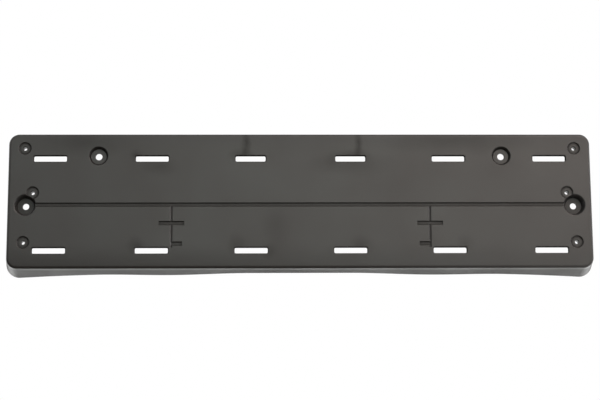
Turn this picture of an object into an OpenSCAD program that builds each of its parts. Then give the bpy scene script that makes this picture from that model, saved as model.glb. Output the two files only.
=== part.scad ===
// Number plate holder: a one-piece moulded panel that is screwed to a car's bumper.
// The plate lies on the flat front face, and the skirt behind it reaches back to the bumper.
// It is drawn as it hangs on the car: X to the viewer's right, Y into the car, Z up.
// The origin is at the centre of the front face. All sizes are in millimetres.

/* [Face] */
// Width of the face
face_w = 520; // [500:1:560]
// Height of the face
face_h = 121.2; // [116:0.5:136]
// Thickness of the face
face_t = 2.8; // [2.2:0.1:3.4]
// Radius of the four corners, seen from the front
corner_r = 9; // [8:0.5:14]
// Rounding of the front edge
edge_r = 2.4; // [1:0.1:3]
// Rounding inside, where the face meets the skirt
inner_r = 1; // [0.5:0.1:2]

/* [Skirt] */
// Thickness of the skirt
skirt_t = 2.5; // [2:0.1:3.2]
// Angle at which the skirt opens towards the bumper, in degrees
skirt_draft = 7.5; // [4:0.5:10]
// Depth of the panel in the middle, from the face to the bumper
depth_mid = 16; // [12:0.2:22]
// Depth of the panel at its two ends
depth_end = 31.4; // [26:0.2:38]
// How steeply the rear edge falls back near the ends
end_power = 3.5; // [2:0.1:5]
// How far the rear edge reaches back in the two places where the bumper dips
dip_rise = 5; // [0:0.1:8]
// Half of the width of each of those places
dip_half_w = 70; // [40:1:80]

/* [Slots] */
// Length of a slot
slot_l = 29.3; // [24:0.1:31]
// Length of the two middle slots of the top row
short_slot_l = 26.8; // [22:0.2:29]
// How far the two middle slots of the top row sit out from their places
short_slot_shift = 0.5; // [0:0.1:2]
// Spacing of the four inner slots of a row
slot_pitch = 88.3; // [84:0.1:90]
// Height of a slot
slot_h = 5.1; // [4.5:0.1:6.5]
// Radius of a slot's corners
slot_r = 1.2; // [0.4:0.1:2]
// Rounding of a slot's edge at the face
slot_round = 1; // [0.3:0.1:1.5]
// Side edge of the face to the centre of the nearest slot
slot_end = 36.9; // [35:0.1:41]
// Top edge of the face to the centre line of the top row
top_row_drop = 22.3; // [20:0.1:26]
// Bottom edge of the face to the centre line of the bottom row
bottom_row_rise = 15.7; // [13.5:0.1:16.5]

/* [Screw cups] */
// Thickness of a cup's wall
cup_wall = 2.4; // [1.6:0.1:3]
// Thickness of a cup's floor
cup_floor_t = 2.6; // [2:0.1:3.4]
// Rounding of the rim of each upper cup and dimple
rim_r = 0.5; // [0.2:0.1:0.8]
// Rounding of the rim of the two outer cups
outer_rim_r = 1.2; // [0.4:0.1:1.6]
// Rounding of the mouth of each bore and pilot hole
mouth_r = 0.5; // [0.2:0.1:0.8]
// Bore of the two outer cups
outer_bore_d = 5.8; // [5:0.1:8]
// Diameter of an outer cup at the face
outer_rim_d = 18; // [16:0.5:20]
// Diameter of an outer cup at its floor
outer_floor_d = 14.6; // [12:0.2:15.4]
// Depth of an outer cup
outer_depth = 7; // [4:0.5:10]
// Side edge of the face to an outer cup's centre
outer_inset = 15.3; // [13:0.1:17]
// How far the outer cups are below the middle of the face
outer_drop = 3.9; // [0:0.1:6]
// Bore of the two upper cups
upper_bore_d = 6.1; // [5:0.1:8]
// Diameter of an upper cup at the face
upper_rim_d = 16.6; // [15:0.2:18]
// Diameter of an upper cup at its floor
upper_floor_d = 13.6; // [12:0.2:14.4]
// Depth of an upper cup
upper_depth = 3.6; // [2:0.2:6]
// Top edge of the face to an upper cup's centre
upper_drop = 19.8; // [18:0.1:24]
// Slot at the end of the top row to the upper cup's centre
upper_gap = 42.9; // [36:0.1:46]

/* [Pilot holes] */
// Diameter of a pilot hole for a small plate screw
pilot_d = 3.5; // [2.5:0.1:4.5]
// Diameter of the dimple round each pilot hole
dimple_d = 11; // [9:0.2:12]
// Diameter of the dimple's floor
dimple_floor_d = 9.6; // [8:0.2:10]
// Depth of a dimple
dimple_depth = 1.2; // [0.6:0.1:1.8]
// Length of a pilot hole behind its dimple
pilot_l = 7.5; // [3:0.5:9]
// Wall round a pilot hole at the back
pilot_wall = 2.6; // [1.6:0.1:3.2]
// Side edge of the face to a corner pilot hole
corner_pilot_inset = 14.2; // [13:0.1:15]
// Top edge of the face to a top pilot hole
top_pilot_drop = 12.9; // [12:0.1:13.4]
// Bottom edge of the face to a bottom pilot hole
bottom_pilot_rise = 23.1; // [22.4:0.1:28]
// Outer cup's centre to its neighbouring pilot hole, sideways
side_pilot_x = 6.5; // [4:0.1:9]
// Outer cup's centre to its neighbouring pilot hole, upwards
side_pilot_z = 11.2; // [10:0.1:14]

/* [Grooves] */
// How far the long groove is below the middle of the face
groove_drop = 3.6; // [0:0.1:6]
// Width of the long groove and of the cross marks at the face
groove_w = 3.7; // [3.2:0.1:4.6]
// Width of their floor
groove_floor_w = 2.6; // [1.4:0.1:3]
// Depth of the long groove and of the cross marks
groove_depth = 1.1; // [0.4:0.1:1.4]
// Width of the upright marks at the face
mark_w = 2.4; // [1.6:0.1:3.6]
// Width of their floor
mark_floor_w = 0.3; // [0.2:0.1:0.8]
// Depth of the upright marks
mark_depth = 0.8; // [0.4:0.1:1.2]
// Middle of the face to an upright mark
mark_x = 115; // [108:0.5:116]
// Bottom edge of the face to the lower end of an upright mark
mark_rise = 18.4; // [18.4:0.2:28]
// Long groove to the upper cross mark
cross_drop = 16.7; // [12:0.1:20]
// Long groove to the lower cross mark
low_cross_drop = 35.2; // [30:0.1:37]
// Reach of the upper cross mark to each side of its upright mark
cross_reach = 11.4; // [6:0.2:15]
// Reach of the lower cross mark towards the middle of the face
low_cross_reach = 9.6; // [5:0.2:14]

/* [Hidden] */
$fn = 96;

// Number of straight pieces in the rear edge.
rear_steps = 76;

// How far a cut reaches past the surface it cuts.
past = 1;

// Length of the blocks behind the deepest place of the rear edge, which is cut off again.
spare_l = 10;

// The corners' own axes stand this far from the middle of the face.
core_x = face_w / 2 - corner_r;
core_z = face_h / 2 - corner_r;

far_y = depth_end + dip_rise + spare_l;
reach_x = face_w / 2 + far_y * tan(skirt_draft) + past;
reach_z = face_h / 2 + far_y * tan(skirt_draft) + past;

top_row_z = face_h / 2 - top_row_drop;
bottom_row_z = bottom_row_rise - face_h / 2;
slot_end_x = face_w / 2 - slot_end;

// Each slot of the right half of a row, from the middle outwards: its centre and its length.
bottom_slots = [
    [slot_pitch / 2, slot_l],
    [3 * slot_pitch / 2, slot_l],
    [slot_end_x, slot_l]
];
top_slots = [
    [slot_pitch / 2 + short_slot_shift, short_slot_l],
    [3 * slot_pitch / 2, slot_l],
    [slot_end_x, slot_l]
];

outer_x = face_w / 2 - outer_inset;
upper_x = slot_end_x - upper_gap;
upper_z = face_h / 2 - upper_drop;
outer_z = -outer_drop;
groove_z = -groove_drop;

corner_pilot_x = face_w / 2 - corner_pilot_inset;
pilot_spots = [
    [corner_pilot_x, face_h / 2 - top_pilot_drop],
    [outer_x - side_pilot_x, outer_z + side_pilot_z],
    [corner_pilot_x, bottom_pilot_rise - face_h / 2]
];

mark_bottom_z = mark_rise - face_h / 2;

// Depth of the rear edge at a place across the face.
// It falls back to the ends, and dips behind each upright mark.
function rear_depth(x) =
    depth_mid
    + (depth_end - depth_mid) * pow(abs(x) / (face_w / 2), end_power)
    + dip(abs(x) - mark_x);

function dip(away) =
    abs(away) < dip_half_w
        ? dip_rise / 2 * (1 + cos(180 * away / dip_half_w))
        : 0;

// Edge of a rounded block, from a corner's axis outwards (x) and from its front backwards (y).
// The side opens with depth. Its line would meet the front at r, and a round takes the corner off.
module edge_section(r, front, round_r) {
    back = far_y - front;
    slope = tan(skirt_draft);
    round_x = r + round_r * slope - round_r / cos(skirt_draft);
    translate([0, front]) {
        polygon([
            [0, 0],
            [round_x, 0],
            [round_x + round_r * cos(skirt_draft), round_r - round_r * sin(skirt_draft)],
            [r + back * slope, back],
            [0, back]
        ]);
        translate([round_x, round_r])
            circle(r = round_r);
    }
}

// Cross-section right through such a block, whose corners' axes stand at plus and minus half.
module bar_section(half, r, front, round_r) {
    for (side = [0, 1])
        mirror([side, 0])
            translate([half, 0])
                edge_section(r, front, round_r);
    translate([-half, front])
        square([2 * half, far_y - front]);
}

// Block with a rounded rectangle for its front, which opens with depth.
// Each corner is a quarter turn of the edge's section, and two bars fill the space between them.
module drafted_block(r, front, round_r) {
    for (sx = [0, 1], sz = [0, 1])
        mirror([sx, 0, 0])
            mirror([0, 0, sz])
                translate([core_x, 0, core_z])
                    rotate([-90, 0, 0])
                        rotate_extrude(angle = -90)
                            edge_section(r, front, round_r);
    linear_extrude(height = 2 * core_z, center = true)
        bar_section(core_x, r, front, round_r);
    rotate([0, -90, 0])
        linear_extrude(height = 2 * core_x, center = true)
            bar_section(core_z, r, front, round_r);
}

// All that lies behind the rear edge.
module behind_rear_edge() {
    edge = [
        for (i = [0 : rear_steps])
            let (x = reach_x * (2 * i / rear_steps - 1))
            [x, rear_depth(x)]
    ];
    linear_extrude(height = 2 * reach_z, center = true)
        polygon(concat(edge, [[reach_x, far_y + past], [-reach_x, far_y + past]]));
}

// Open tray: the face, and the skirt that runs round it back to the bumper.
module tray() {
    inside_r = corner_r + face_t * tan(skirt_draft) - skirt_t / cos(skirt_draft);
    difference() {
        drafted_block(corner_r, 0, edge_r);
        drafted_block(inside_r, face_t, inner_r);
        behind_rear_edge();
    }
}

// Section of a slot's rounded mouth, from a corner's axis outwards (x) and from the face backwards (y).
module mouth_section() {
    difference() {
        translate([0, -past])
            square([slot_r + slot_round, slot_round + past]);
        translate([slot_r + slot_round, slot_round])
            circle(r = slot_round);
    }
}

// Cross-section right through such a mouth, whose corners' axes stand at plus and minus half.
module mouth_bar(half) {
    for (side = [0, 1])
        mirror([side, 0])
            translate([half, 0])
                mouth_section();
    translate([-half, -past])
        square([2 * half, slot_round + past]);
}

// One slot through the face, with rounded corners and a rounded mouth.
module slot(x, z, l) {
    half_l = l / 2 - slot_r;
    half_h = slot_h / 2 - slot_r;
    translate([x, 0, z]) {
        rotate([90, 0, 0])
            linear_extrude(height = 2 * (face_t + past), center = true) {
                square([2 * half_l, slot_h], center = true);
                square([l, 2 * half_h], center = true);
                for (sx = [-1, 1], sz = [-1, 1])
                    translate([sx * half_l, sz * half_h])
                        circle(r = slot_r);
            }
        for (sx = [-1, 1], sz = [-1, 1])
            translate([sx * half_l, 0, sz * half_h])
                rotate([-90, 0, 0])
                    rotate_extrude()
                        mouth_section();
        linear_extrude(height = 2 * half_h, center = true)
            mouth_bar(half_l);
        rotate([0, -90, 0])
            linear_extrude(height = 2 * half_l, center = true)
                mouth_bar(half_h);
    }
}

module slots() {
    for (side = [-1, 1]) {
        for (s = bottom_slots)
            slot(side * s[0], bottom_row_z, s[1]);
        for (s = top_slots)
            slot(side * s[0], top_row_z, s[1]);
    }
}

// Solid that a cup or a pilot hole is sunk into, behind the face.
module boss(front_d, back_d, back_y) {
    rotate([-90, 0, 0])
        translate([0, 0, face_t / 2])
            cylinder(d1 = front_d, d2 = back_d, h = back_y - face_t / 2);
}

// What a hole of radius r takes away besides itself, where its edge is rounded.
module rounded_edge(r, round_r) {
    difference() {
        translate([r - past / 2, -past])
            square([round_r + past / 2, round_r + past]);
        translate([r + round_r, round_r])
            circle(r = round_r);
    }
}

// Room inside a cup: a rounded rim, a tapered wall, a flat floor and a bore through it.
module cup_room(rim_d, floor_d, depth, bore_d, back_y, round_r) {
    rotate([-90, 0, 0])
        rotate_extrude() {
            polygon([
                [0, -past],
                [rim_d / 2, -past],
                [rim_d / 2, round_r],
                [floor_d / 2, depth],
                [bore_d / 2, depth],
                [bore_d / 2, back_y + past],
                [0, back_y + past]
            ]);
            rounded_edge(rim_d / 2, round_r);
            translate([0, depth])
                rounded_edge(bore_d / 2, mouth_r);
        }
}

module at_outer_cups() {
    for (side = [-1, 1])
        translate([side * outer_x, 0, outer_z])
            children();
}

module at_upper_cups() {
    for (side = [-1, 1])
        translate([side * upper_x, 0, upper_z])
            children();
}

module at_pilot_holes() {
    for (side = [-1, 1], spot = pilot_spots)
        translate([side * spot[0], 0, spot[1]])
            children();
}

module bosses() {
    at_outer_cups()
        boss(outer_rim_d + 2 * cup_wall, outer_floor_d + 2 * cup_wall, outer_depth + cup_floor_t);
    at_upper_cups()
        boss(upper_rim_d + 2 * cup_wall, upper_floor_d + 2 * cup_wall, upper_depth + cup_floor_t);
    at_pilot_holes()
        boss(dimple_d + pilot_wall, pilot_d + 2 * pilot_wall, dimple_depth + pilot_l);
}

module cup_rooms() {
    at_outer_cups()
        cup_room(outer_rim_d, outer_floor_d, outer_depth, outer_bore_d, outer_depth + cup_floor_t,
            outer_rim_r);
    at_upper_cups()
        cup_room(upper_rim_d, upper_floor_d, upper_depth, upper_bore_d, upper_depth + cup_floor_t,
            rim_r);
    at_pilot_holes()
        cup_room(dimple_d, dimple_floor_d, dimple_depth, pilot_d, dimple_depth + pilot_l, rim_r);
}

// Section of a groove: wide at the face, narrower at its floor.
module groove_section(w, floor_w, depth) {
    flank = (w - floor_w) / 2 / depth;
    polygon([
        [-w / 2 - past * flank, -past],
        [w / 2 + past * flank, -past],
        [floor_w / 2, depth],
        [-floor_w / 2, depth]
    ]);
}

// Groove that lies level, from x0 to x1.
module level_groove(x0, x1, z) {
    translate([x0, 0, z])
        rotate([0, 90, 0])
            linear_extrude(height = x1 - x0)
                groove_section(groove_w, groove_floor_w, groove_depth);
}

// Groove that stands upright, with a sharp floor.
module upright_groove(x, z0, z1) {
    translate([x, 0, z0])
        linear_extrude(height = z1 - z0)
            groove_section(mark_w, mark_floor_w, mark_depth);
}

// Long groove between the outer cups, and the two marks that hang from it.
module grooves() {
    level_groove(-outer_x, outer_x, groove_z);
    for (side = [0, 1])
        mirror([side, 0, 0]) {
            upright_groove(mark_x, mark_bottom_z, groove_z);
            level_groove(mark_x - cross_reach, mark_x + cross_reach, groove_z - cross_drop);
            level_groove(mark_x - low_cross_reach, mark_x, groove_z - low_cross_drop);
        }
}

module plate_holder() {
    color("#4a4844")
        difference() {
            union() {
                tray();
                bosses();
            }
            slots();
            cup_rooms();
            grooves();
        }
}

plate_holder();
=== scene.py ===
# %% [markdown]
# # A number plate holder, moulded in black polypropylene
#
# The object is one piece of plastic: a long flat panel that is screwed to a car's bumper and carries
# the number plate. CAD has already drawn all of its real shape, down to the round on each screw cup's
# rim. What is left for Blender is the finish: what dyed polypropylene looks like when it leaves the
# mould, and the soft studio light in which such a part is photographed for a shop.

# %% Load the frame
import math

import bpy
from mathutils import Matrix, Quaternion, Vector

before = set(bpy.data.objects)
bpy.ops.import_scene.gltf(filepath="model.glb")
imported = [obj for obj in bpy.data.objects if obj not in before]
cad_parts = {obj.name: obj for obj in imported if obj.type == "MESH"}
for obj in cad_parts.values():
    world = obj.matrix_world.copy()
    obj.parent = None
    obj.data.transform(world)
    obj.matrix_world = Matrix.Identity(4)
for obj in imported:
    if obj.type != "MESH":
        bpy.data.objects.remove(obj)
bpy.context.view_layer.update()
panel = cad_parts["plate_holder"]

# %% [markdown]
# ## Camera
#
# The photograph was taken from about 1.5 m in front of the panel and a little below its middle, looking
# up by about 11 degrees. That is why the lower side of the skirt shows and the upper side doesn't.
# A camera can be placed by eye, or by aiming it at a point, or worked out from points whose place on
# the real object is known. The last way was taken here, because slots and bores that fall on the same
# pixels as in the photograph make every later comparison of light and colour easy.

# %% Camera
CAMERA_AT = Vector((-0.03754, -1.49913, -0.3035))
CAMERA_AIMS_AT = Vector((-0.00066, 0.0, 0.00048))
CAMERA_ROLL = math.radians(-0.332)
LENS_MM = 103.1
SENSOR_MM = 36.0

camera = bpy.data.objects.new("camera", bpy.data.cameras.new("camera"))
bpy.context.scene.collection.objects.link(camera)
camera.data.sensor_width = SENSOR_MM
camera.data.lens = LENS_MM
camera.data.clip_start = 0.05
camera.data.clip_end = 50.0
camera.location = CAMERA_AT
camera.rotation_mode = "QUATERNION"
aim = (CAMERA_AIMS_AT - CAMERA_AT).to_track_quat("-Z", "Y")
camera.rotation_quaternion = aim @ Quaternion((0.0, 0.0, 1.0), CAMERA_ROLL)
bpy.context.scene.camera = camera
print("camera distance in m:", round((CAMERA_AIMS_AT - CAMERA_AT).length, 3))

# %% [markdown]
# ## Two helpers
#
# Colours are written as the hex values that a screen shows, because those can be compared with a
# photograph. Blender computes light in linear values, so one function turns the one into the other.
#
# A material could be drawn by hand in the shader editor, or scripted with a few lines for every node.
# Here one function adds a node with its settings and its links in a single call, so that a material
# reads as a list of what it is made of. The sockets of a Math node all bear the same name, so values
# can be given in the order of the sockets too.


# %% Helpers for colours and nodes
def linear(hex_colour):
    """The linear RGBA of an sRGB colour such as "#3a3936"."""
    parts = [int(hex_colour[i : i + 2], 16) / 255 for i in (1, 3, 5)]
    return [c / 12.92 if c <= 0.04045 else ((c + 0.055) / 1.055) ** 2.4 for c in parts] + [1.0]


def add_node(tree, kind, settings=None, *in_order, **by_name):
    """Adds a node, with its properties and sockets set and its links made.

    Settings are properties or sockets by name. The other values go to sockets, in order or by name
    (with _ for a space), and each is a plain value or the output of another node.
    """
    node = tree.nodes.new(kind)
    for name, value in (settings or {}).items():
        if name in node.inputs:
            node.inputs[name].default_value = value
        else:
            setattr(node, name, value)
    fillings = list(zip(node.inputs, in_order))
    fillings += [(node.inputs[name.replace("_", " ")], value) for name, value in by_name.items()]
    for socket, value in fillings:
        if isinstance(value, bpy.types.NodeSocket):
            tree.links.new(value, socket)
        else:
            socket.default_value = value
    return node


# %% [markdown]
# ## Moulded polypropylene
#
# The panel is polypropylene, dyed black all through. The dye isn't a deep black: under studio light
# the face comes out as a warm dark grey. The mould was spark-eroded, so the plastic carries a fine,
# even, matt grain a few tenths of a millimetre across, which spreads reflections into a broad sheen.
# Three things give that away to the eye: a dark base colour, a rather high roughness with a normal
# plastic's IOR, and a bump far too fine to be seen one by one. Slow clouds in tone and gloss are added,
# because a real moulding is never quite even.
#
# A photograph of such a grain could be wrapped round the panel, but it would show its seams, and its
# scale would be a guess. Noise in the object's own coordinates has neither fault: its scale is worked
# out from a size in millimetres.

# %% Plastic: tone, gloss and grain
PP_IOR = 1.49
PP_ROUGHNESS = 0.45
GLOSS_SPREAD = 0.045
GRAIN_MM = 0.35
CLOUD_MM = 55.0
CLOUD_TONES = ("#232221", "#252423")
CLOUDS_BETWEEN = (0.3, 0.7)

plastic = bpy.data.materials.new("moulded_black_polypropylene")
plastic.use_nodes = True
tree = plastic.node_tree
tree.nodes.clear()

place = add_node(tree, "ShaderNodeTexCoord").outputs["Object"]
place_xyz = add_node(tree, "ShaderNodeSeparateXYZ", Vector=place)
sideways, depth, height = (place_xyz.outputs[axis] for axis in ("X", "Y", "Z"))
clouds = add_node(
    tree,
    "ShaderNodeTexNoise",
    {"Scale": 1000 / CLOUD_MM, "Detail": 3.0, "Roughness": 0.55},
    Vector=place,
)
grain = add_node(
    tree,
    "ShaderNodeTexNoise",
    {"Scale": 1000 / GRAIN_MM, "Detail": 2.0, "Roughness": 0.6},
    Vector=place,
)
tone = add_node(tree, "ShaderNodeValToRGB", Fac=clouds.outputs["Fac"])
for stop, position, colour in zip(tone.color_ramp.elements, CLOUDS_BETWEEN, CLOUD_TONES):
    stop.position = position
    stop.color = linear(colour)
gloss = add_node(
    tree,
    "ShaderNodeMapRange",
    {
        "From Min": CLOUDS_BETWEEN[0],
        "From Max": CLOUDS_BETWEEN[1],
        "To Min": PP_ROUGHNESS - GLOSS_SPREAD,
        "To Max": PP_ROUGHNESS + GLOSS_SPREAD,
    },
    Value=clouds.outputs["Fac"],
)
print("grain in mm:", GRAIN_MM, " clouds in mm:", CLOUD_MM)

# %% [markdown]
# ## Edges and a slight bow
#
# No moulded edge is sharp. CAD has drawn the large rounds, and a bevel in the shading gives the rest a
# few tenths of a millimetre, so that each edge catches a thin line of light.
#
# The face isn't quite flat either. A moulded panel of this length warps as it cools, and the sheen
# shows what the outline can't: the face turns darker over the last centimetres before its lower edge,
# most of all at the left. So its lower side is bent back there, and its upper side a touch forward. A
# modifier could bend the mesh, but the shape is CAD's, and a bump tells the same story without moving
# a single vertex. Its height grows with the square of the distance, so the bend starts without a crease.

# %% Bevel, bow and grain in one normal
EDGE_ROUND_MM = 0.4
LOWER_BOW_MM, LOWER_BOW_STARTS_MM = -1.2, -38.0
UPPER_BOW_MM, UPPER_BOW_STARTS_MM = 0.4, 40.0
FACE_HALF_WIDTH_MM, FACE_HALF_HEIGHT_MM = 260.0, 61.0
BOW_AT_LEFT, BOW_AT_RIGHT = 1.5, 0.35
GRAIN_HEIGHT_MM, GRAIN_STRENGTH = 0.1, 0.15


def bend(start_mm, end_mm, amount_mm, across=1.0):
    """A bend of the face from one height to another, times how much of it there is across the face."""
    part = add_node(
        tree,
        "ShaderNodeMapRange",
        {"From Min": start_mm / 1000, "From Max": end_mm / 1000},
        Value=height,
    ).outputs["Result"]
    raised = part
    for factor in (part, amount_mm / 1000, across):
        step = add_node(tree, "ShaderNodeMath", {"operation": "MULTIPLY"}, raised, factor)
        raised = step.outputs["Value"]
    return raised


more_at_left = add_node(
    tree,
    "ShaderNodeMapRange",
    {
        "From Min": -FACE_HALF_WIDTH_MM / 1000,
        "From Max": FACE_HALF_WIDTH_MM / 1000,
        "To Min": BOW_AT_LEFT,
        "To Max": BOW_AT_RIGHT,
    },
    Value=sideways,
)
bow = add_node(
    tree,
    "ShaderNodeMath",
    {"operation": "ADD"},
    bend(LOWER_BOW_STARTS_MM, -FACE_HALF_HEIGHT_MM, LOWER_BOW_MM, more_at_left.outputs["Result"]),
    bend(UPPER_BOW_STARTS_MM, FACE_HALF_HEIGHT_MM, UPPER_BOW_MM),
)
softened = add_node(tree, "ShaderNodeBevel", {"samples": 8, "Radius": EDGE_ROUND_MM / 1000})
bowed = add_node(
    tree,
    "ShaderNodeBump",
    {"Strength": 1.0, "Distance": 1.0},
    Height=bow.outputs["Value"],
    Normal=softened.outputs["Normal"],
)
relief = add_node(
    tree,
    "ShaderNodeBump",
    {"Strength": GRAIN_STRENGTH, "Distance": GRAIN_HEIGHT_MM / 1000},
    Height=grain.outputs["Fac"],
    Normal=bowed.outputs["Normal"],
)
shader = add_node(
    tree,
    "ShaderNodeBsdfPrincipled",
    {"IOR": PP_IOR},
    Base_Color=tone.outputs["Color"],
    Roughness=gloss.outputs["Result"],
    Normal=relief.outputs["Normal"],
)
print("nodes so far:", len(tree.nodes))

# %% [markdown]
# ## Painted shade in the recesses
#
# The grooves, the slots' edges and the walls of the cups are darker than their shape alone makes them
# under these lamps. That darkness is painted shade: in these narrow places the plastic is made to lose
# its sheen, and a black surface without sheen loses most of its brightness.
#
# A mask for this could be painted by hand, but it would no longer fit once a size changes in CAD. So
# ambient occlusion finds the narrow places, and the depth behind the face tells a groove's floor from
# its walls. The result sets how much of a plain diffuse surface is mixed in.

# %% Painted shade in grooves and cups
RECESS_MM = 3.0
OPEN_PLACE, NARROW_PLACE = 0.98, 0.88
SHADE_AT_DEPTH = [
    # depth behind the face in mm, painted shade
    (0.0, 0.1),
    (0.6, 0.15),
    (0.8, 0.3),
    (1.0, 0.56),
    (1.2, 0.56),
    (1.4, 1.0),
    (2.8, 1.0),
    (3.3, 0.05),
]
DEEPEST_MM = 4.0
CUP_FLOOR_SHADE = 0.35
CUP_SHADE_FROM_MM, CUP_SHADE_TO_MM = 5.0, 6.8

openness = add_node(
    tree,
    "ShaderNodeAmbientOcclusion",
    {"samples": 8, "only_local": True, "Distance": RECESS_MM / 1000},
)
narrowness = add_node(
    tree,
    "ShaderNodeMapRange",
    {"From Min": OPEN_PLACE, "From Max": NARROW_PLACE},
    Value=openness.outputs["AO"],
)
part_of_depth = add_node(tree, "ShaderNodeMapRange", {"From Max": DEEPEST_MM / 1000}, Value=depth)
by_depth = add_node(tree, "ShaderNodeValToRGB", Fac=part_of_depth.outputs["Result"])
while len(by_depth.color_ramp.elements) < len(SHADE_AT_DEPTH):
    by_depth.color_ramp.elements.new(0.5)
for stop, (mm, amount) in zip(by_depth.color_ramp.elements, SHADE_AT_DEPTH):
    stop.position = mm / DEEPEST_MM
    stop.color = (amount, amount, amount, 1.0)
# Painted shade in the grooves and on the walls of the cups: narrow places lose their sheen, by their
# depth.
shade_in_groove = add_node(
    tree,
    "ShaderNodeMath",
    {"operation": "MULTIPLY"},
    narrowness.outputs["Result"],
    by_depth.outputs["Color"],
)
# Painted shade deep in the outer cups: their floors lose sheen from 5 to 6.8 mm behind the face.
shade_in_cup = add_node(
    tree,
    "ShaderNodeMapRange",
    {
        "From Min": CUP_SHADE_FROM_MM / 1000,
        "From Max": CUP_SHADE_TO_MM / 1000,
        "To Max": CUP_FLOOR_SHADE,
    },
    Value=depth,
)
print("dullness by depth in mm:", SHADE_AT_DEPTH)

# %% [markdown]
# A slot is too wide for ambient occlusion at that distance, so its round and its walls are found by
# their place. Left and right are alike, and both rows have slots at nearly the same three distances from
# the middle. Every slot shows a dark line along its upper edge, where its round faces downwards. The
# round is CAD's; the darkness of the line is painted shade, as the rounds and walls of the slots lose
# their sheen.

# %% Painted shade in the slots
SLOT_SHADE = 0.9
SLOTS_FROM_CENTRE_MM = (44.4, 132.45, 223.1)
SLOT_HALF_LENGTH_MM = 16.0
ROWS_MIDDLE_MM = -3.4
ROWS_FROM_MIDDLE_MM = (37.4, 46.4)
WALL_FROM_MM, WALL_TO_MM = 0.02, 2.7
FADE_MM = 0.2


def distance_from(coordinate, mm):
    """How far a coordinate is from a place on the face, in metres."""
    offset = add_node(tree, "ShaderNodeMath", {"operation": "SUBTRACT"}, coordinate, mm / 1000)
    size = add_node(tree, "ShaderNodeMath", {"operation": "ABSOLUTE"}, offset.outputs["Value"])
    return size.outputs["Value"]


from_centre = distance_from(sideways, 0.0)
from_slot, *from_other_slots = (distance_from(from_centre, mm) for mm in SLOTS_FROM_CENTRE_MM)
for other in from_other_slots:
    nearer = add_node(tree, "ShaderNodeMath", {"operation": "MINIMUM"}, from_slot, other)
    from_slot = nearer.outputs["Value"]
from_rows_middle = distance_from(height, ROWS_MIDDLE_MM)

# Painted shade on the slots' rounds and walls.
shade_in_slot = SLOT_SHADE
for measure, mm, before, past in (
    # what is measured, a limit in mm, and the share of painted shade before that limit and past it
    (from_slot, SLOT_HALF_LENGTH_MM, 1.0, 0.0),
    (from_rows_middle, ROWS_FROM_MIDDLE_MM[0], 0.0, 1.0),
    (from_rows_middle, ROWS_FROM_MIDDLE_MM[1], 1.0, 0.0),
    (depth, WALL_FROM_MM, 0.0, 1.0),
    (depth, WALL_TO_MM, 1.0, 0.0),
):
    limit = add_node(
        tree,
        "ShaderNodeMapRange",
        {"From Min": mm / 1000, "From Max": (mm + FADE_MM) / 1000, "To Min": before, "To Max": past},
        Value=measure,
    )
    limited = add_node(
        tree,
        "ShaderNodeMath",
        {"operation": "MULTIPLY"},
        limit.outputs["Result"],
        shade_in_slot,
    )
    shade_in_slot = limited.outputs["Value"]
print("slots found at mm from the middle:", SLOTS_FROM_CENTRE_MM)

# %% [markdown]
# ## Marks of the melt, and shade along the upper edge
#
# Where the melt flows round a core and meets again, or stands still for a moment, it leaves soft matt
# marks: smears above the two middle slots and darker spots at the ends of some slots. The two broad
# patches along the upper edge are painted shade instead, where the face turns darker towards its upper
# edge. A noise alone would put them anywhere, so they are drawn as ellipses that fade outwards, on a
# grid that a noise bends a little, and no outline looks drawn. Each takes away sheen in the same way as
# the painted shade in a recess, so it changes the sheen and not the dye.

# %% Matt marks and painted shade
WANDER_MM = 8.0
WANDER_EVERY_MM = 16.0
MATT_MARKS_AND_SHADE = [
    # x and z of the middle, half width, half height in mm, and how much sheen is taken away in the
    # middle
    (-48.5, 52.0, 4.5, 15.0, 0.50),
    (-52.5, 41.5, 13.0, 7.0, 0.40),
    (52.0, 52.0, 4.5, 15.0, 0.48),
    (49.0, 41.0, 16.0, 8.0, 0.42),
    (29.0, 38.0, 9.0, 8.0, 0.16),
    (48.0, 33.0, 45.0, 12.0, 0.20),
    (-147.0, 40.0, 7.0, 7.0, 0.40),
    (-145.5, -40.5, 9.0, 9.0, 0.34),
    (-125.0, 31.0, 18.0, 9.0, 0.22),
    (-57.0, -39.0, 9.0, 11.0, 0.24),
    (-28.0, -46.0, 9.0, 9.0, 0.26),
    (54.0, -39.0, 12.0, 9.0, 0.26),
    (146.0, -39.0, 9.0, 9.0, 0.22),
    (-22.0, -22.0, 13.0, 26.0, 0.14),
    # The next two are painted shade: the face darker towards its upper edge, at the left and at the
    # right.
    (-192.0, 53.0, 45.0, 14.0, 0.26),
    (140.0, 55.0, 75.0, 14.0, 0.26),
]
wander = add_node(
    tree,
    "ShaderNodeTexNoise",
    {"Scale": 1000 / WANDER_EVERY_MM, "Detail": 2.0},
    Vector=place,
)
wandering = add_node(
    tree,
    "ShaderNodeVectorMath",
    {"operation": "MULTIPLY_ADD"},
    wander.outputs["Color"],
    [WANDER_MM / 1000] * 3,
    place,
)
marks = 0.0
for x_mm, z_mm, half_width, half_height, amount in MATT_MARKS_AND_SHADE:
    # The noise is about 0.5 everywhere, so each mark is moved by half of the wander.
    spot = add_node(
        tree,
        "ShaderNodeMapping",
        {
            "vector_type": "TEXTURE",
            "Location": ((x_mm + WANDER_MM / 2) / 1000, 0.0, (z_mm + WANDER_MM / 2) / 1000),
            "Scale": (half_width / 1000, 1.0, half_height / 1000),
        },
        Vector=wandering.outputs["Vector"],
    )
    fading = add_node(
        tree,
        "ShaderNodeTexGradient",
        {"gradient_type": "SPHERICAL"},
        Vector=spot.outputs["Vector"],
    )
    so_far = add_node(
        tree,
        "ShaderNodeMath",
        {"operation": "MULTIPLY_ADD"},
        fading.outputs["Fac"],
        amount,
        marks,
    )
    marks = so_far.outputs["Value"]
print("matt marks:", len(MATT_MARKS_AND_SHADE))
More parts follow.
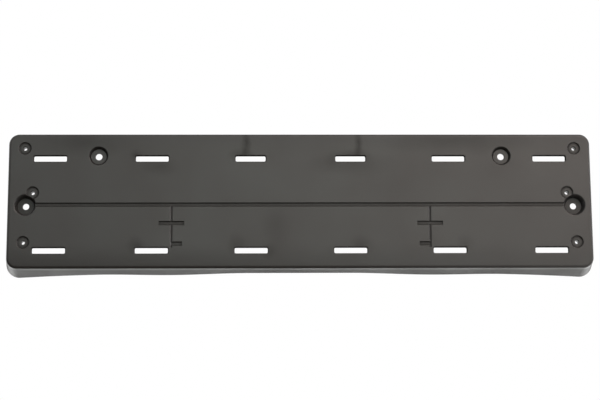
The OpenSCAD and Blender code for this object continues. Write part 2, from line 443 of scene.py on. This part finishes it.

# %% [markdown]
# ## The plastic's skin
#
# Places in painted shade could get a darker base colour instead, but on black plastic most of the light
# that the eye gets is sheen, and the colour doesn't touch that. So a surface without any sheen is mixed
# in, both for the painted shade and for the matt marks. The strongest of these wins at each place. The
# finished plastic goes to every material slot of the panel. The back and the skirt get the same one: it
# is all one moulding.

# %% Mix and hand over
lost_sheen = shade_in_groove.outputs["Value"]
for cause in (shade_in_cup.outputs["Result"], shade_in_slot, marks):
    stronger = add_node(tree, "ShaderNodeMath", {"operation": "MAXIMUM"}, lost_sheen, cause)
    lost_sheen = stronger.outputs["Value"]
# A surface without sheen, mixed in for the painted shade in recesses, cups and slots and for the matt
# marks.
sheenless = add_node(
    tree,
    "ShaderNodeBsdfDiffuse",
    {"Roughness": 0.8},
    Color=tone.outputs["Color"],
    Normal=relief.outputs["Normal"],
)
skin = add_node(
    tree,
    "ShaderNodeMixShader",
    {},
    lost_sheen,
    shader.outputs["BSDF"],
    sheenless.outputs["BSDF"],
)
add_node(tree, "ShaderNodeOutputMaterial", Surface=skin.outputs["Shader"])

for slot in panel.material_slots:
    slot.material = plastic
print("slots given the plastic:", len(panel.material_slots))

# %% [markdown]
# ## Floor
#
# The panel hangs in the air, as it does on the car, so the floor lies well below it. A backdrop that
# curves up behind the panel could go with it, but one plain square is enough, because the world beyond
# its edges is white.

# %% Floor
FLOOR_Z = -0.45
FLOOR_HALF = 12.0

floor_mesh = bpy.data.meshes.new("floor")
corners = [(x * FLOOR_HALF, y * FLOOR_HALF, FLOOR_Z) for x, y in ((-1, -1), (1, -1), (1, 1), (-1, 1))]
floor_mesh.from_pydata(corners, [], [(0, 1, 2, 3)])
floor = bpy.data.objects.new("floor", floor_mesh)
bpy.context.scene.collection.objects.link(floor)
print("floor at z in m:", FLOOR_Z)

# %% [markdown]
# ## The floor's paint
#
# The paint is matt, pale and plain. The camera sees it a little paler than the lamps make it. More
# light would do that too, but it would fall on the panel as well, so the paint glows for the camera
# alone.
#
# The panel's reflections ask for one thing more. Under its front edge the photograph shows the skirt
# brighter than the face: seen from below, at a flat angle, it mirrors a white surface that lies behind
# the panel. The rounded right edge shows white too. So reflections see the floor as white behind the
# panel and to its right, and the rest of it as it is.

# %% The floor's paint
PALER_FOR_CAMERA = 0.3
WHITE_IN_REFLECTIONS = {
    # axis: where on the floor the white starts and where it is full, in metres
    "Y": (0.25, 0.45),
    "X": (0.05, 0.42),
}

paint = bpy.data.materials.new("matt_pale_floor")
paint.use_nodes = True
floor_tree = paint.node_tree
floor_tree.nodes.clear()
floor_place = add_node(floor_tree, "ShaderNodeTexCoord").outputs["Object"]
floor_xyz = add_node(floor_tree, "ShaderNodeSeparateXYZ", Vector=floor_place)
mirrored_level = 0.0
for axis, (start, full) in WHITE_IN_REFLECTIONS.items():
    whiter = add_node(
        floor_tree,
        "ShaderNodeMapRange",
        {"From Min": start, "From Max": full},
        Value=floor_xyz.outputs[axis],
    )
    whitest = add_node(
        floor_tree,
        "ShaderNodeMath",
        {"operation": "MAXIMUM"},
        whiter.outputs["Result"],
        mirrored_level,
    )
    mirrored_level = whitest.outputs["Value"]

floor_rays = add_node(floor_tree, "ShaderNodeLightPath")
seen_level = 0.0
for rays, level in (("Is Camera Ray", PALER_FOR_CAMERA), ("Is Glossy Ray", mirrored_level)):
    for_these = add_node(
        floor_tree,
        "ShaderNodeMath",
        {"operation": "MULTIPLY_ADD"},
        floor_rays.outputs[rays],
        level,
        seen_level,
    )
    seen_level = for_these.outputs["Value"]

matt = add_node(
    floor_tree,
    "ShaderNodeBsdfPrincipled",
    {"Base Color": linear("#cfcfcc"), "Roughness": 0.9},
)
glow = add_node(
    floor_tree,
    "ShaderNodeEmission",
    {"Color": linear("#ffffff")},
    Strength=seen_level,
)
both = add_node(
    floor_tree,
    "ShaderNodeAddShader",
    {},
    matt.outputs["BSDF"],
    glow.outputs["Emission"],
)
add_node(floor_tree, "ShaderNodeOutputMaterial", Surface=both.outputs["Shader"])
floor.data.materials.append(paint)
print("floor mirrored as white from m to m:", WHITE_IN_REFLECTIONS)

# %% [markdown]
# ## Surroundings
#
# The photograph's ground is pure white. Strong lamps on a backdrop could make it so, but they would
# light the panel too. Instead the world shows white to the camera, to reflections and through anything
# clear, and gives no light of its own.

# %% World
world = bpy.data.worlds.new("studio")
world.use_nodes = True
bpy.context.scene.world = world
world_tree = world.node_tree
world_tree.nodes.clear()
world_rays = add_node(world_tree, "ShaderNodeLightPath")
seen = world_rays.outputs["Is Camera Ray"]
for rays in ("Is Glossy Ray", "Is Transmission Ray"):
    either = add_node(
        world_tree,
        "ShaderNodeMath",
        {"operation": "MAXIMUM"},
        seen,
        world_rays.outputs[rays],
    )
    seen = either.outputs["Value"]
white = add_node(world_tree, "ShaderNodeBackground", {"Color": linear("#ffffff")}, Strength=seen)
add_node(world_tree, "ShaderNodeOutputWorld", Surface=white.outputs["Background"])
print("world: white where it is seen")

# %% [markdown]
# ## Lamps
#
# A black part shows its lamps more than its own colour, so the photograph tells where they stood. The
# walls of the screw cups, the rounds of their rims and the panel's lower front edge are all nearly
# black. Strong light from the sides or from below would have caught at least one of them, so the main
# light comes from the front and from above. The face grows brighter and a little warmer towards the
# right, so the key stands on that side and has a warm tint. The fill is a little greener than white.
#
# The other lamps serve the edges. One shines straight down on the floor behind the panel, and what
# comes back from there reaches the skirt from below. Two weak low ones behind the panel reach the
# lower edge from there, and a narrow weak one far out at the right reaches the rounded right edge.
#
# The strengths weren't guessed. Each lamp was rendered alone, and the mix of them that comes closest
# to the photograph's tones at many places of the panel was worked out, and then adjusted in small
# steps. One limit went along with it: the lamps together have to give the face a plain level of light.
# The Standard view transform then shows the colours as they are lit, with no film look laid over them.


# %% Lamps
def soft_box(name, at, aims_at, width, height, spread, power, colour):
    """A rectangular area lamp of that size in metres, at a place and turned to a point."""
    lamp = bpy.data.lights.new(name, "AREA")
    lamp.shape = "RECTANGLE"
    lamp.size = width
    lamp.size_y = height
    lamp.spread = math.radians(spread)
    lamp.energy = power
    lamp.color = linear(colour)[:3]
    box = bpy.data.objects.new(name, lamp)
    box.location = at
    box.rotation_mode = "QUATERNION"
    box.rotation_quaternion = (Vector(aims_at) - Vector(at)).to_track_quat("-Z", "Y")
    bpy.context.scene.collection.objects.link(box)


LAMPS = {
    # name: (place, aim, width, height, spread in degrees, watts, colour)
    "key_right": ((0.9, -1.6, 1.1), (0.0, 0.0, 0.0), 1.0, 1.0, 180.0, 24.0, "#ffe5db"),
    "fill_front": ((0.1, -2.3, 0.5), (0.0, 0.0, 0.0), 1.2, 0.8, 180.0, 8.9, "#f0fff4"),
    "top_front": ((0.0, -1.5, 1.3), (0.0, 0.0, 0.0), 1.2, 0.8, 180.0, 1.6, "#fdfff2"),
    "floor_behind": ((0.0, 1.2, 0.5), (0.0, 1.21, -0.45), 2.4, 0.6, 60.0, 18.0, "#fafffe"),
    "low_left": ((-0.75, 1.1, -0.27), (-0.25, 0.02, -0.06), 0.5, 0.2, 90.0, 0.25, "#ffffff"),
    "low_right": ((0.75, 1.1, -0.27), (0.25, 0.02, -0.06), 0.5, 0.2, 90.0, 0.3, "#ffffff"),
    "rim_right": ((1.37, -0.38, 0.24), (0.26, 0.0, 0.0), 0.5, 0.5, 20.0, 0.2, "#ffffff"),
}
for name, numbers in LAMPS.items():
    soft_box(name, *numbers)
print("lamps:", ", ".join(LAMPS))

bpy.context.scene.view_settings.view_transform = "Standard"
